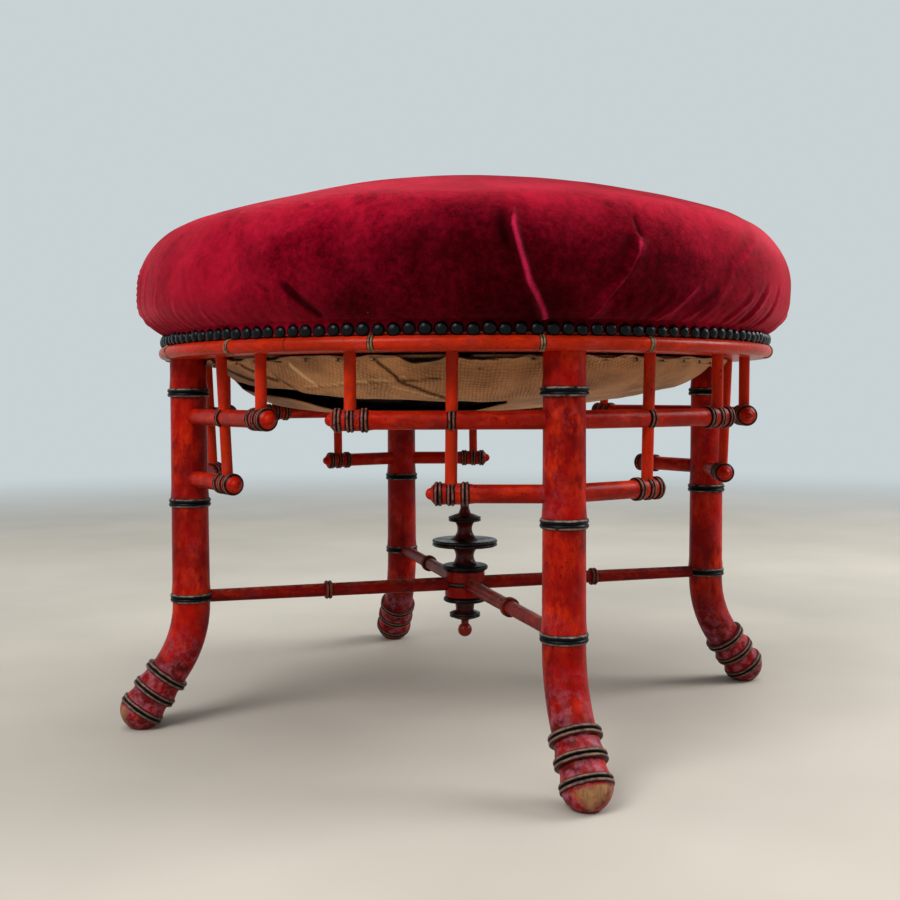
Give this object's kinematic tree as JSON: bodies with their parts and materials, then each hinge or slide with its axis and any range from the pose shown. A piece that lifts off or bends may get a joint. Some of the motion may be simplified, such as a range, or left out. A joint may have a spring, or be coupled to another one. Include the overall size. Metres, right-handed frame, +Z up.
{
  "type": "stool",
  "caption": "Round upholstered stool with a domed velvet seat on coil springs, a nailed rail, turned bamboo-style legs with splayed feet, spindle brackets and crossed stretchers with a finial",
  "frame": {"origin": "on the floor, under the middle of the seat", "axes": "+Z up; the front leg stands on -Y, the right leg on +X, the back leg on +Y and the left leg on -X"},
  "size_m": [0.6232, 0.6232, 0.4675],
  "materials": {
    "red_lacquer_wood": "worn vermilion lacquer over turned wood, satin",
    "black_lacquer_wood": "black lacquer over turned wood, satin, with worn edges",
    "bare_beech": "plain wood, unfinished",
    "crimson_velvet": "cotton velvet with a crushed pile",
    "calico": "plain woven cotton",
    "hessian": "coarse woven jute, aged",
    "jute_webbing": "herringbone jute webbing",
    "fibre_stuffing": "curled hair or fibre",
    "spring_steel": "coppered steel wire",
    "dark_bronze": "dark patinated domed nail heads",
    "blued_steel": "blued steel tacks"
  },
  "bodies": {
    "root": {"back_inner_spindle_left": "red_lacquer_wood", "back_inner_spindle_right": "red_lacquer_wood", "back_leg": "red_lacquer_wood", "back_lower_arm_left": "red_lacquer_wood", "back_lower_arm_right": "red_lacquer_wood", "back_outer_spindle_left": "red_lacquer_wood", "back_outer_spindle_right": "red_lacquer_wood", "back_rail": "red_lacquer_wood", "back_stretcher": "red_lacquer_wood", "back_upper_arm_left": "red_lacquer_wood", "back_upper_arm_right": "red_lacquer_wood", "base_cloth": "hessian", "base_tacks": "blued_steel", "bottom_drop": "black_lacquer_wood", "calico_cover": "calico", "decorative_nails": "dark_bronze", "front_inner_spindle_left": "red_lacquer_wood", "front_inner_spindle_right": "red_lacquer_wood", "front_leg": "red_lacquer_wood", "front_lower_arm_left": "red_lacquer_wood", "front_lower_arm_right": "red_lacquer_wood", "front_outer_spindle_left": "red_lacquer_wood", "front_outer_spindle_right": "red_lacquer_wood", "front_rail": "red_lacquer_wood", "front_stretcher": "red_lacquer_wood", "front_upper_arm_left": "red_lacquer_wood", "front_upper_arm_right": "red_lacquer_wood", "hub_barrel": "red_lacquer_wood", "left_inner_spindle_back": "red_lacquer_wood", "left_inner_spindle_front": "red_lacquer_wood", "left_leg": "red_lacquer_wood", "left_lower_arm_back": "red_lacquer_wood", "left_lower_arm_front": "red_lacquer_wood", "left_outer_spindle_back": "red_lacquer_wood", "left_outer_spindle_front": "red_lacquer_wood", "left_rail": "red_lacquer_wood", "left_stretcher": "red_lacquer_wood", "left_upper_arm_back": "red_lacquer_wood", "left_upper_arm_front": "red_lacquer_wood", "rail_dowels": "bare_beech", "right_inner_spindle_back": "red_lacquer_wood", "right_inner_spindle_front": "red_lacquer_wood", "right_leg": "red_lacquer_wood", "right_lower_arm_back": "red_lacquer_wood", "right_lower_arm_front": "red_lacquer_wood", "right_outer_spindle_back": "red_lacquer_wood", "right_outer_spindle_front": "red_lacquer_wood", "right_rail": "red_lacquer_wood", "right_stretcher": "red_lacquer_wood", "right_upper_arm_back": "red_lacquer_wood", "right_upper_arm_front": "red_lacquer_wood", "seat_springs": "spring_steel", "spring_hessian": "hessian", "stuffing": "fibre_stuffing", "top_finial": "black_lacquer_wood", "velvet_cover": "crimson_velvet", "webbing_front_to_back": "jute_webbing", "webbing_side_to_side": "jute_webbing"}
  },
  "joints": []
}
